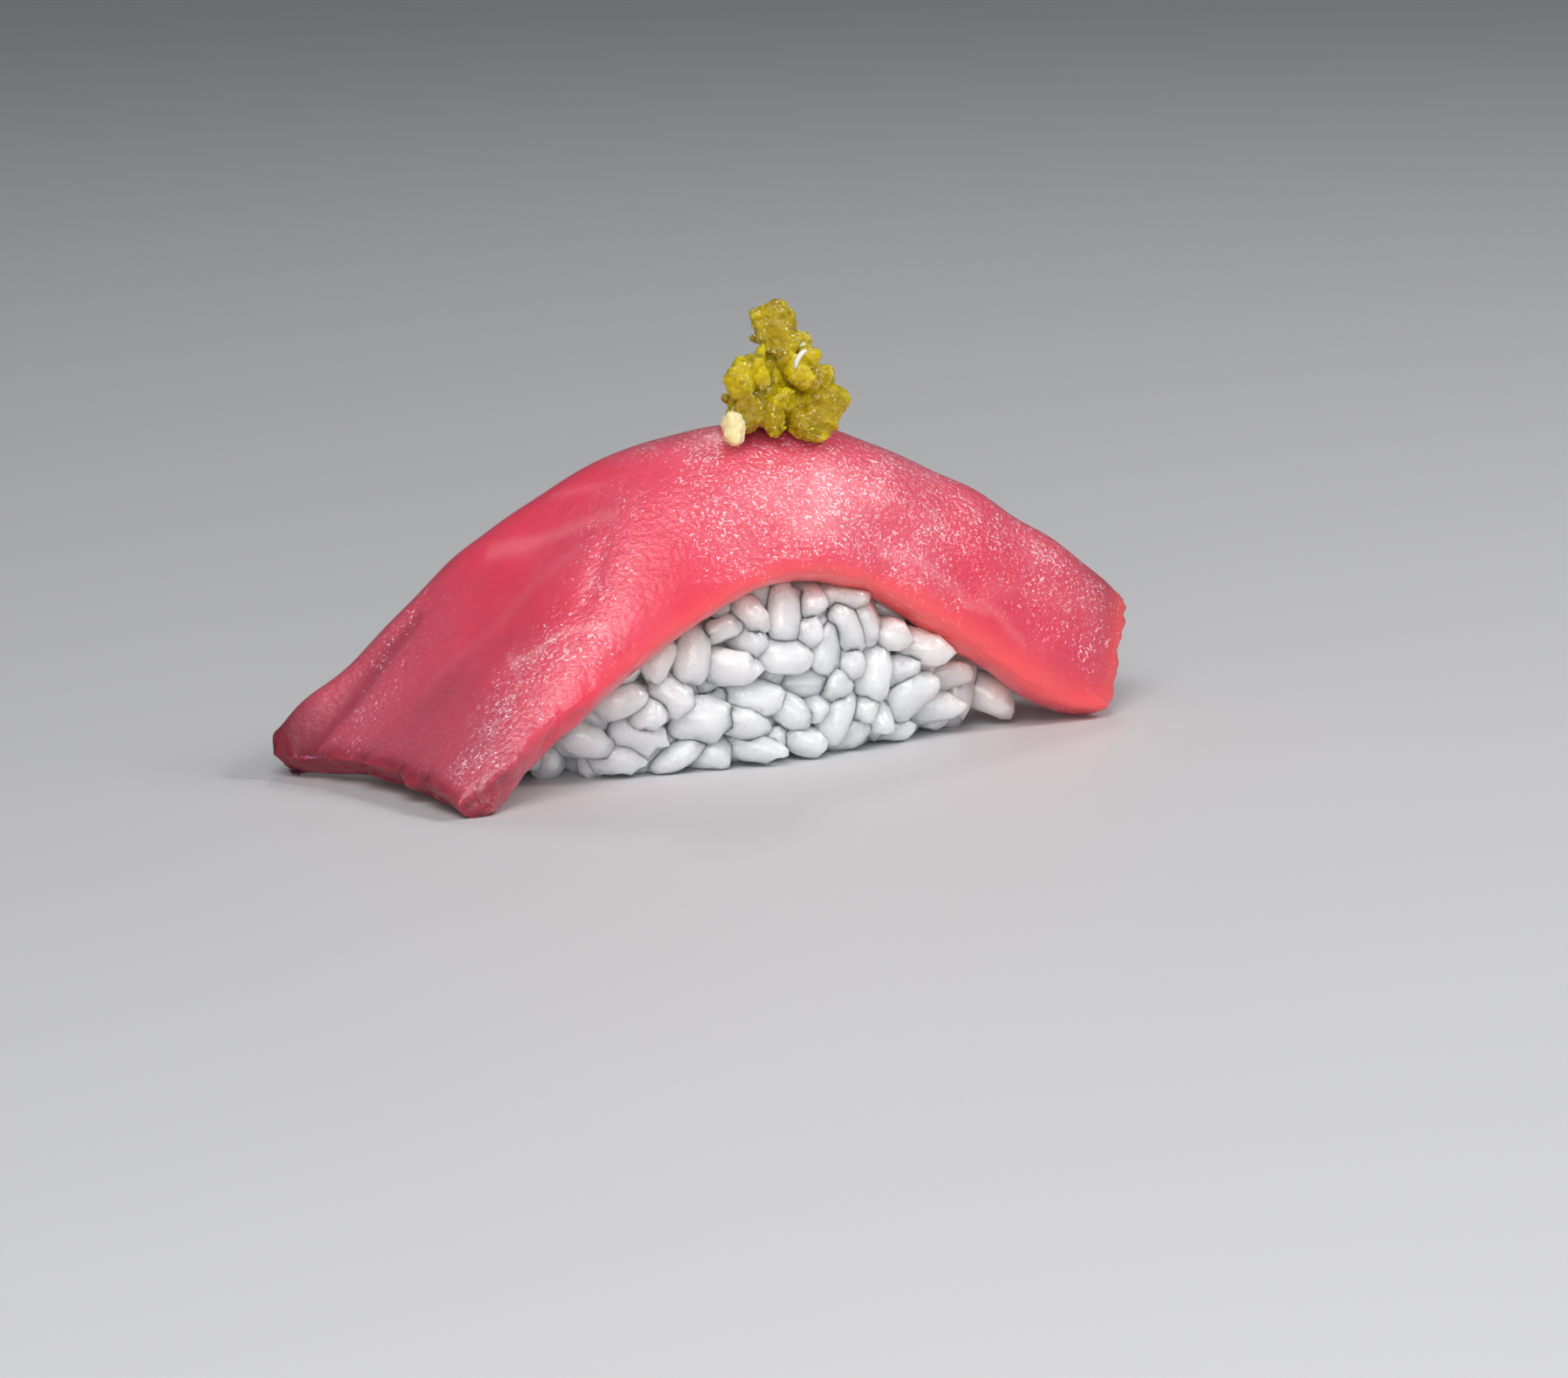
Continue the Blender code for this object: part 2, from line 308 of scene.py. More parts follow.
@dataclass(frozen=True)
class TunaFinish:
    """Raw tuna: translucent crimson flesh, frosted ends, coral cut edges with a painted glow, fat
    lines, wet sparkle with painted glints and sheen, and painted shade at the ends and in the
    crease.
    """

    flesh: Colour = (0.78, 0.056, 0.112)
    pale_flesh: Colour = (0.80, 0.088, 0.150)
    # Deep flesh for the fibres, also used as painted shade on the right.
    deep_flesh_and_shade: Colour = (0.62, 0.035, 0.075)
    # Painted glow of light shining through the thin cut edge.
    coral_painted_glow: Colour = (0.92, 0.125, 0.130)
    frost: Colour = (0.48, 0.085, 0.130)
    fat: Colour = (0.90, 0.26, 0.30)
    rime: Colour = (0.66, 0.22, 0.28)
    # Painted glint colour.
    painted_glint: Colour = (1.0, 0.80, 0.84)
    # Painted sheen colour.
    painted_sheen: Colour = (0.74, 0.22, 0.29)
    # Painted shade colour for the crease, the right tip and the left end face.
    painted_end_shade: Colour = (0.26, 0.012, 0.030)
    # Painted shade colour for the far left end.
    painted_dusk: Colour = (0.10, 0.012, 0.024)
    light_reach: Point = (1.0, 0.18, 0.16)
    # Long soft streaks, a thin vein with a star at its end, and two lines along the edges.
    fat_lines: tuple[Stroke, ...] = (
        ((-21.5, 4.4), (-12.7, -3.9), 1.1, 0.40),
        ((-15.3, 3.4), (-12.3, 0.0), 0.8, 0.25),
        ((-25.0, -7.2), (-17.2, -10.7), 0.55, 0.75),
        ((-25.0, -7.2), (-24.7, -5.6), 0.45, 0.65),
        ((-25.0, -7.2), (-23.4, -8.9), 0.40, 0.45),
        ((-25.0, -7.2), (-25.4, -9.3), 0.40, 0.45),
        ((12.5, -8.3), (28.1, -7.3), 0.50, 0.45),
        ((23.8, -7.1), (38.9, -3.0), 0.55, 0.25),
        ((-30.0, 1.5), (-17.0, -3.5), 1.2, 0.18),
        ((-8.0, 6.0), (6.0, 7.5), 1.0, 0.25),
        ((4.0, 10.0), (22.0, 7.5), 0.8, 0.35),
        ((-27.0, 11.0), (-16.0, 9.5), 0.7, 0.35),
    )
    # The painted shade line in the crease.
    painted_crease_shade: tuple[Stroke, ...] = (((-41.0, 10.6), (-29.0, 7.0), 1.3, 1.0),)
    # The broad patches where moisture beads, and where glints and sheen are painted.
    wet_and_painted_glint_patches: tuple[Stroke, ...] = (
        ((-4.0, -8.0), (16.0, -7.0), 7.5, 1.0),
        ((-13.0, -5.0), (-20.0, -11.0), 5.0, 0.6),
        ((16.0, -3.0), (40.0, -4.0), 6.5, 0.75),
        ((-25.0, -10.0), (-31.0, -13.5), 5.5, 1.0),
        ((-6.0, 2.0), (20.0, 3.0), 7.0, 0.55),
        ((-38.0, 4.0), (-30.0, 8.0), 5.0, 0.3),
        ((-10.0, 10.0), (25.0, 8.0), 6.0, 0.4),
    )

    def lines(self, graph: Graph) -> Field:
        """The pale fat lines, made to wander.

        Args:
            graph: The material's nodes.

        Returns:
            Their strength, from 0 up.
        """
        shift = graph.add("ShaderNodeTexNoise", sockets={"Vector": graph.place, "Scale": 260.0})
        wander = graph.vector("SCALE", shift.outputs["Color"])
        wander.inputs["Scale"].default_value = 1.6 * MM
        moved = graph.vector("ADD", graph.place, wander.outputs[0]).outputs[0]
        flat = graph.vector("MULTIPLY", moved, (1.0, 1.0, 0.0)).outputs[0]
        return graph.strokes(self.fat_lines, 0.0, flat)

    def wet_and_painted_glint_zone(self, graph: Graph) -> Field:
        """Where the surface carries beads of moisture and painted glints and sheen, from 0 to 1."""
        return graph.strokes(self.wet_and_painted_glint_patches, 0.05, graph.flat).clamped()

    def build(self) -> bpy.types.Material:
        """Makes the material."""
        graph = Graph("tuna_flesh")
        rim = graph.attribute("rim")
        cloud = graph.grain(9 * MM, 3.0)
        fibre = graph.grain(1.3 * MM, 3.0, (0.35, 1.0, 1.0))
        left_end = (graph.x + (cloud - 0.5) * (16 * MM)).smooth(-22 * MM, -36 * MM)
        right_end = (graph.x + (cloud - 0.5) * (14 * MM)).smooth(26 * MM, 40 * MM)
        speck = graph.grain(0.26 * MM, 2.0).smooth(0.50, 0.66)
        # Painted shade along the crease.
        painted_crease_shade = graph.strokes(self.painted_crease_shade, 0.0, graph.flat)
        # Painted shade at the far left end.
        far_end_shade = graph.x.smooth(-36.5 * MM, -41.5 * MM) * graph.y.smooth(6 * MM, 11 * MM)
        # Painted shade at the right tip.
        right_tip_shade = (graph.x + (cloud - 0.5) * (8 * MM)).smooth(34 * MM, 41 * MM)
        frosted = (left_end * 0.75 + right_end * 0.45).clamped()
        # Painted glow along the front cut edge, where light shines through the thin flesh.
        face = rim * graph.x.smooth(-24 * MM, -10 * MM)
        # Painted shade on the left end face.
        end_face_shade = rim * graph.x.smooth(-26 * MM, -33 * MM)

        colour = graph.mix(cloud.smooth(0.35, 0.65), self.flesh, self.pale_flesh)
        colour = graph.mix(fibre.smooth(0.52, 0.75) * 0.35, colour, self.deep_flesh_and_shade)
        colour = graph.mix(self.lines(graph), colour, self.fat)
        colour = graph.mix(frosted, colour, self.frost)
        # Painted shade: the flesh darker towards the right.
        colour = graph.mix(graph.x.smooth(12 * MM, 34 * MM) * 0.3, colour, self.deep_flesh_and_shade)
        colour = graph.mix(left_end * speck * 0.55, colour, self.rime)
        colour = graph.mix(painted_crease_shade * 0.5 + right_tip_shade * 0.7, colour, self.painted_end_shade)
        colour = graph.mix(far_end_shade * 0.75, colour, self.painted_dusk)
        colour = graph.mix(face * 0.8, colour, self.coral_painted_glow)
        colour = graph.mix(end_face_shade * 0.8, colour, self.painted_end_shade)

        wet_glint_zone = self.wet_and_painted_glint_zone(graph)
        # Painted sheen: a pale haze where the highlight band falls, away from the cut edges.
        colour = graph.mix(wet_glint_zone * 0.28 * (1.0 - rim), colour, self.painted_sheen)
        # Painted glints: pale flecks in the base colour where moisture beads.
        curl = graph.grain(0.42 * MM, 1.0, (0.7, 1.0, 1.0))
        thin = (curl - 0.5).maths("ABSOLUTE", curl - 0.5).smooth(0.045, 0.012)
        broken = graph.grain(0.40 * MM, 1.0) + graph.grain(3 * MM, 2.0) * 0.6
        painted_glint_mask = thin * (broken + wet_glint_zone * 0.18).smooth(0.96, 1.04) * wet_glint_zone.smooth(0.0, 0.4)
        painted_glint_mask = painted_glint_mask * (1.0 - 0.8 * rim)
        colour = graph.mix(painted_glint_mask * 0.8, colour, self.painted_glint)

        ripple = graph.grain(2.6 * MM, 2.0, (0.6, 1.0, 1.0))
        foil = graph.grain(0.45 * MM, 2.0, (0.75, 1.0, 1.0))
        normal = graph.bump(ripple, 0.16 * MM)
        normal = graph.bump(foil * (0.3 + 0.7 * wet_glint_zone) * (1.0 - 0.6 * rim), 0.30 * MM, normal)
        graph.surface(
            Base_Color=colour,
            Roughness=0.30 + 0.18 * frosted - 0.16 * wet_glint_zone,
            Normal=normal,
            Subsurface_Weight=1.0,
            Subsurface_Radius=self.light_reach,
            Subsurface_Scale=1.8 * MM,
            Specular_IOR_Level=0.5,
            Coat_Weight=(0.10 + 0.50 * wet_glint_zone) * (1.0 - frosted * 0.6),
            Coat_Roughness=0.34,
        )
        return graph.material


@dataclass(frozen=True)
class RiceFinish:
    """Cooked rice: translucent white, with painted shade making it bluish low down, painted light
    from the tuna where it touches the tuna, and a core painted darker as shade between the grains.
    """

    white: Colour = (0.93, 0.925, 0.92)
    cool_tone_and_shade: Colour = (0.84, 0.885, 0.89)
    painted_tuna_light: Colour = (0.90, 0.50, 0.42)
    clear: Colour = (0.72, 0.74, 0.75)
    grey_chalk_and_shade: Colour = (0.55, 0.52, 0.5)
    light_reach: Point = (1.0, 0.95, 0.9)
    painted_gap_shade: float = 0.0

    def build(self, name: str) -> bpy.types.Material:
        """Makes the material.

        Args:
            name: Its name.

        Returns:
            The material.
        """
        graph = Graph(name)
        shade = graph.attribute("shade")
        painted_tuna_light_share = graph.attribute("painted_tuna_light_share")
        chalk = graph.grain(2.2 * MM, 2.0)
        # Painted shade: bluish towards the bottom, mixed with each grain's own tone.
        low = graph.z.smooth(9 * MM, 1 * MM)
        colour = graph.mix(low * 0.5 + shade * 0.4, self.white, self.cool_tone_and_shade)
        colour = graph.mix(shade.smooth(0.6, 1.0) * 0.3, colour, self.clear)
        # Painted light from the tuna: pink where a grain is near the slice.
        colour = graph.mix(painted_tuna_light_share, colour, self.painted_tuna_light)
        # Painted shade on the core seen between the grains, and chalky bits.
        colour = graph.mix(self.painted_gap_shade + chalk.smooth(0.55, 0.8) * 0.06, colour, self.grey_chalk_and_shade)
        skin = graph.grain(1.3 * MM, 2.0)
        wet = graph.grain(0.35 * MM, 1.0)
        normal = graph.bump(wet, 0.12 * MM, graph.bump(skin, 0.30 * MM))
        graph.surface(
            Base_Color=colour,
            Roughness=0.24 + 0.14 * chalk,
            Normal=normal,
            Subsurface_Weight=1.0,
            Subsurface_Radius=self.light_reach,
            Subsurface_Scale=4.0 * MM,
            Specular_IOR_Level=0.5,
            Coat_Weight=0.6,
            Coat_Roughness=0.10,
        )
        return graph.material


@dataclass(frozen=True)
class WasabiFinish:
    """Chopped wasabi: wet, glassy yellow to olive brown pieces, with painted glints and painted
    shade in the hollow.
    """

    bright: Colour = (0.62, 0.47, 0.006)
    olive: Colour = (0.34, 0.23, 0.001)
    brown: Colour = (0.34, 0.16, 0.006)
    # Painted shade colour for the hollow.
    hollow: Colour = (0.06, 0.03, 0.004)
    painted_glint: Colour = (0.95, 0.92, 0.62)
    light_reach: Point = (1.0, 0.75, 0.10)

    def build(self, name: str) -> bpy.types.Material:
        """Makes the material.

        Args:
            name: Its name.

        Returns:
            The material.
        """
        graph = Graph(name)
        shade = graph.attribute("shade")
        patch = graph.grain(2.4 * MM, 2.0)
        colour = graph.mix(shade.smooth(0.15, 0.95), self.olive, self.bright)
        colour = graph.mix(patch.smooth(0.50, 0.8) * 0.7, colour, self.brown)
        # Painted shade in the hollow.
        colour = graph.mix(graph.attribute("painted_hollow_shade") * 0.9, colour, self.hollow)
        lump = graph.grain(0.8 * MM, 2.0)
        fine = graph.grain(0.30 * MM, 2.0)
        normal = graph.bump(lump, 0.14 * MM)
        normal = graph.bump(fine * patch, 0.34 * MM, normal)
        # Painted glints: pale flecks in the base colour on wet patches.
        wet = graph.grain(1.3 * MM, 1.0).smooth(0.46, 0.60)
        painted_glint = graph.grain(0.24 * MM, 1.0).smooth(0.62, 0.68) * wet
        colour = graph.mix(painted_glint * 0.75, colour, self.painted_glint)
        graph.surface(
            Base_Color=colour,
            Roughness=0.08 + 0.14 * patch,
            Normal=normal,
            Subsurface_Weight=0.85,
            Subsurface_Radius=self.light_reach,
            Subsurface_Scale=2.6 * MM,
            Specular_IOR_Level=0.22,
            Coat_Weight=0.2,
            Coat_Roughness=0.04,
        )
        return graph.material


@dataclass(frozen=True)
class PaleFinish:
    """Pale stem flesh: cream, faintly streaked and moist."""

    name: str
    cream: Colour = (0.86, 0.73, 0.42)
    streak: Colour = (0.80, 0.62, 0.24)
    roughness: float = 0.3
    light_reach: Point = (1.0, 0.8, 0.45)

    def build(self) -> bpy.types.Material:
        """Makes the material."""
        graph = Graph(self.name)
        strand = graph.grain(0.7 * MM, 2.0, (1.0, 1.0, 0.25))
        colour = graph.mix(strand.smooth(0.45, 0.7) * 0.6, self.cream, self.streak)
        normal = graph.bump(strand, 0.12 * MM)
        graph.surface(
            Base_Color=colour,
            Roughness=self.roughness + 0.1 * strand,
            Normal=normal,
            Subsurface_Weight=0.9,
            Subsurface_Radius=self.light_reach,
            Subsurface_Scale=1.0 * MM,
        )
        return graph.material


@dataclass(frozen=True)
class FloorFinish:
    """A plain pale floor."""

    colour: Colour = (0.62, 0.62, 0.63)

    def build(self) -> bpy.types.Material:
        """Makes the material."""
        graph = Graph("floor")
        cloud = graph.grain(0.4, 1.0)
        graph.surface(Base_Color=self.colour, Roughness=0.55 + 0.02 * cloud)
        return graph.material


# ---------------------------------------------------------------- mesh tools


@dataclass
class Shell:
    """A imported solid's surface, for distances and rays."""

    node: Node
    tree: BVHTree = field(init=False)

    def __post_init__(self) -> None:
        """Builds the search tree from the solid's triangles."""
        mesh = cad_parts[self.node.value].data
        points = [vertex.co for vertex in mesh.vertices]
        self.tree = BVHTree.FromPolygons(points, [tuple(face.vertices) for face in mesh.polygons])

    def depth(self, point: Vector) -> tuple[float, Vector]:
        """How deep a point lies.

        Args:
            point: The point.

        Returns:
            Its depth, negative outside, and the way out.
        """
        near, normal, _, gap = self.tree.find_nearest(point)
        away = near - point
        side = 1.0 if away.dot(normal) >= 0 else -1.0
        way = away.normalized() * side if gap > 1e-6 else normal
        return gap * side, way

    def distance(self, point: Vector) -> float:
        """The distance from a point to the surface."""
        return self.tree.find_nearest(point)[3]


def merged_copy(node: Node) -> bmesh.types.BMesh:
    """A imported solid's mesh as quads with shared corners."""
    builder = bmesh.new()
    builder.from_mesh(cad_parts[node.value].data)
    bmesh.ops.remove_doubles(builder, verts=builder.verts, dist=0.001 * MM)
    bmesh.ops.join_triangles(
        builder, faces=builder.faces, angle_face_threshold=0.9, angle_shape_threshold=1.6
    )
    return builder


def crease_sharp(builder: bmesh.types.BMesh, angle: float, strength: float) -> None:
    """Keeps a mesh's sharp edges crisp when it is softened.

    Args:
        builder: The mesh.
        angle: The least angle between an edge's two faces, in degrees.
        strength: How crisp it stays, from 0 to 1.
    """
    layer = builder.edges.layers.float.new("crease_edge")
    for edge in builder.edges:
        if len(edge.link_faces) == 2 and edge.calc_face_angle() > math.radians(angle):
            edge[layer] = strength


def evaluated(
    builder: bmesh.types.BMesh, kind: str, settings: dict[str, object]
) -> bmesh.types.BMesh:
    """Runs a mesh through one modifier.

    Args:
        builder: The mesh, which is used up.
        kind: The modifier's type.
        settings: Its properties.

    Returns:
        The new mesh.
    """
    mesh = bpy.data.meshes.new("holder")
    builder.to_mesh(mesh)
    builder.free()
    holder = bpy.data.objects.new("holder", mesh)
    bpy.context.scene.collection.objects.link(holder)
    modifier = holder.modifiers.new("step", kind)
    for name, value in settings.items():
        setattr(modifier, name, value)
    bpy.context.view_layer.update()
    made = bmesh.new()
    made.from_object(holder, bpy.context.evaluated_depsgraph_get())
    bpy.data.objects.remove(holder)
    bpy.data.meshes.remove(mesh)
    return made


def softened(builder: bmesh.types.BMesh, levels: int) -> bmesh.types.BMesh:
    """Subdivides a mesh smoothly, splitting each face a number of times."""
    return evaluated(builder, "SUBSURF", {"levels": levels, "render_levels": levels})


def fused(builder: bmesh.types.BMesh, voxel: float) -> bmesh.types.BMesh:
    """Joins crossing shells into one skin. It works in millimetres, where the voxels aren't tiny.

    Args:
        builder: The shells, which are used up.
        voxel: The skin's fineness.

    Returns:
        The skin.
    """
    bmesh.ops.scale(builder, vec=(1 / MM, 1 / MM, 1 / MM), verts=builder.verts)
    skin = evaluated(builder, "REMESH", {"mode": "VOXEL", "voxel_size": voxel / MM})
    bmesh.ops.scale(skin, vec=(MM, MM, MM), verts=skin.verts)
    return skin


def finished(
    name: str,
    builder: bmesh.types.BMesh,
    material: bpy.types.Material,
    stands_for: Node | None = None,
) -> bpy.types.Object:
    """Turns a mesh into a finished piece.

    Args:
        name: The piece's name.
        builder: Its mesh, which is used up.
        material: Its material.
        stands_for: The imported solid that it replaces.

    Returns:
        The piece.
    """
    mesh = bpy.data.meshes.new(name)
    builder.to_mesh(mesh)
    builder.free()
    mesh.shade_smooth()
    mesh.materials.append(material)
    piece = bpy.data.objects.new(name, mesh)
    bpy.context.scene.collection.objects.link(piece)
    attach(piece, BODY)
    if stands_for is not None:
        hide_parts(stands_for.value)
    return piece


def report(piece: bpy.types.Object) -> None:
    """Logs a piece's name and size."""
    LOG.info("%s: %d faces", piece.name, len(piece.data.polygons))


# ---------------------------------------------------------------- packing


@dataclass
class Packing:
    """Grains pressed together inside a solid, each one three balls on a short line.

    The first ones are fixed in place. Two balls may overlap by 1 - squeeze. A ball stays at least
    inset of its radius deep, and its near side no deeper than deepest.
    """

    shell: Shell
    centres: np.ndarray
    axes: np.ndarray
    halves: np.ndarray
    radii: np.ndarray
    fixed: int
    squeeze: float
    inset: float
    deepest: float

    def balls(self) -> np.ndarray:
        """The places of all balls, three to a grain."""
        steps = np.array([-1.0, 0.0, 1.0])[None, :, None]
        lines = self.axes[:, None, :] * self.halves[:, None, None]
        return (self.centres[:, None, :] + lines * steps).reshape(-1, 3)

    def pushes(self, balls: np.ndarray) -> np.ndarray:
        """How far each ball is pushed by those of other grains that it overlaps."""
        radii = np.repeat(self.radii, 3)
        owner = np.repeat(np.arange(len(self.radii)), 3)
        away = balls[:, None, :] - balls[None, :, :]
        gaps = np.linalg.norm(away, axis=2) + 1e-9
        overlap = (radii[:, None] + radii[None, :]) * self.squeeze - gaps
        overlap[owner[:, None] == owner[None, :]] = 0.0
        overlap = np.clip(overlap, 0.0, None)
        return (away / gaps[:, :, None] * overlap[:, :, None]).sum(axis=1) * 0.3

    def kept_in(self, balls: np.ndarray) -> np.ndarray:
        """How far each ball is moved to stay inside the solid and near its surface."""
        moves = np.zeros_like(balls)
        for index, ball in enumerate(balls):
            depth, way = self.shell.depth(Vector(ball))
            radius = self.radii[index // 3]
            if depth < radius * self.inset:
                moves[index] = np.array(way) * (depth - radius * self.inset)
            elif depth > radius + self.deepest:
                moves[index] = np.array(way) * (depth - radius - self.deepest) * 0.5
        return moves

    def relax(self, rounds: int) -> None:
        """Lets the grains push one another apart.

        Args:
            rounds: How many times they are moved.
        """
        for _ in range(rounds):
            balls = self.balls()
            moves = self.pushes(balls)
            moves += self.kept_in(balls + moves)
            moves = moves.reshape(-1, 3, 3)
            moves[: self.fixed] = 0.0
            self.centres += moves.mean(axis=1)
            turn = (moves[:, 2] - moves[:, 0]) / (2 * self.halves[:, None] + 0.5 * MM)
            self.axes += turn * 0.8
            self.axes /= np.linalg.norm(self.axes, axis=1)[:, None]


# ---------------------------------------------------------------- the pieces


@dataclass
class TunaSlice:
    """The slice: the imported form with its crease, ragged ends and soft dents."""

    finish: TunaFinish = field(default_factory=TunaFinish)
    fineness: int = 2
    rim_reach: float = 1.0 * MM
    crease: tuple[Point, Point] = ((-40.3 * MM, 10.4 * MM, 0), (-27.0 * MM, 6.4 * MM, 0))
    crease_depth: float = 2.2 * MM
    crease_width: float = 1.15 * MM
    lobe: Point = (-40.5 * MM, 13.5 * MM, 0.0)
    lobe_rise: float = 1.7 * MM
    lobe_reach: float = 4.2 * MM
    dent: tuple[Point, Point] = ((-14.2 * MM, -5.4 * MM, 0), (-19.4 * MM, -10.2 * MM, 0))
    dent_depth: float = 0.28 * MM
    dent_width: float = 0.8 * MM
    wave: float = 0.30 * MM
    ragged: float = 0.55 * MM
    torn_left: float = 1.3
    torn_right: float = 0.6

    def outward(self, point: Vector) -> Vector:
        """The level direction from the slice's middle line to its nearest edge."""
        x, y = point.x / (42 * MM), point.y / (14 * MM)
        return Vector((x**5, y**3, 0.0)).normalized()

    def rim_distances(self, builder: bmesh.types.BMesh) -> list[float]:
        """Each vertex's distance to the nearest cut edge face."""
        edge = [
            vertex.co.copy()
            for vertex in builder.verts
            if vertex.normal.z < 0.15 and vertex.normal.dot(self.outward(vertex.co)) > 0.30
        ]
        tree = KDTree(len(edge))
        for index, point in enumerate(edge):
            tree.insert(point, index)
        tree.balance()
        return [tree.find(vertex.co)[2] for vertex in builder.verts]

    @staticmethod
    def from_line(point: Vector, line: tuple[Point, Point]) -> tuple[float, float]:
        """How a point lies to a line seen from above.

        Args:
            point: The point.
            line: The line's two ends.

        Returns:
            Its distance to the line, and how far along the line it is, from 0 to 1.
        """
        start, end = Vector(line[0]), Vector(line[1])
        way = end - start
        flat = Vector((point.x, point.y, 0.0)) - start
        share = min(max(flat.dot(way) / way.length_squared, 0.0), 1.0)
        return (flat - way * share).length, share

    def moved(self, point: Vector, normal: Vector, to_rim: float) -> Vector:
        """Where a vertex goes: waves, the crease, the dent and the ragged edges.

        Args:
            point: The vertex.
            normal: Its normal.
            to_rim: Its distance to the nearest cut edge.

        Returns:
            Its new place.
        """
        shift = normal * self.wave * noise.noise(point / (7 * MM)) * 1.4
        if normal.z > 0.1:
            gap, share = self.from_line(point, self.crease)
            fall = self.crease_depth * (1.0 - share) ** 0.8
            shift -= UP * fall * math.exp(-((gap / self.crease_width) ** 2))
            to_lobe = (Vector((point.x, point.y, 0.0)) - Vector(self.lobe)).length
            shift += UP * self.lobe_rise * math.exp(-((to_lobe / self.lobe_reach) ** 2))
            gap, share = self.from_line(point, self.dent)
            edge = math.sin(math.pi * min(max(share, 0.05), 0.95))
            shift -= normal * self.dent_depth * edge * math.exp(-((gap / self.dent_width) ** 2))
        near = math.exp(-((to_rim / self.rim_reach) ** 2))
        rough = noise.noise(point / (1.9 * MM)) + 0.7 * noise.noise(point / (0.8 * MM))
        end = min(abs(point.x) / (36 * MM), 1.0) ** 4
        torn = self.torn_left if point.x < 0 else self.torn_right
        shift += self.outward(point) * near * rough * self.ragged * (0.45 + torn * end)
        return point + shift

    def build(self) -> bpy.types.Object:
        """Makes the slice."""
        coarse = merged_copy(Node.SLICE)
        crease_sharp(coarse, 24.0, 0.4)
        builder = softened(coarse, self.fineness)
        builder.normal_update()
        distances = self.rim_distances(builder)
        rim = builder.verts.layers.float.new("rim")
        placed = []
        for vertex, to_rim in zip(builder.verts, distances):
            wider = min(max((vertex.co.x - 10 * MM) / (15 * MM), 0.0), 1.0)
            vertex[rim] = math.exp(-((to_rim / (self.rim_reach * (1.0 + 0.9 * wider))) ** 2))
            placed.append(self.moved(vertex.co, vertex.normal, to_rim))
        for vertex, place in zip(builder.verts, placed):
            place.z = max(place.z, 0.0)
            vertex.co = place
        builder.normal_update()
        return finished("tuna_flesh", builder, self.finish.build(), Node.SLICE)


@dataclass
class Grain:
    """A listed grain of rice on the lump's front, in millimetres and degrees.

    The depth is how far it lies behind the lump's surface.
    """

    x: float
    z: float
    lean: float
    length: float = 6.4
    width: float = 3.9
    depth: float = 0.0


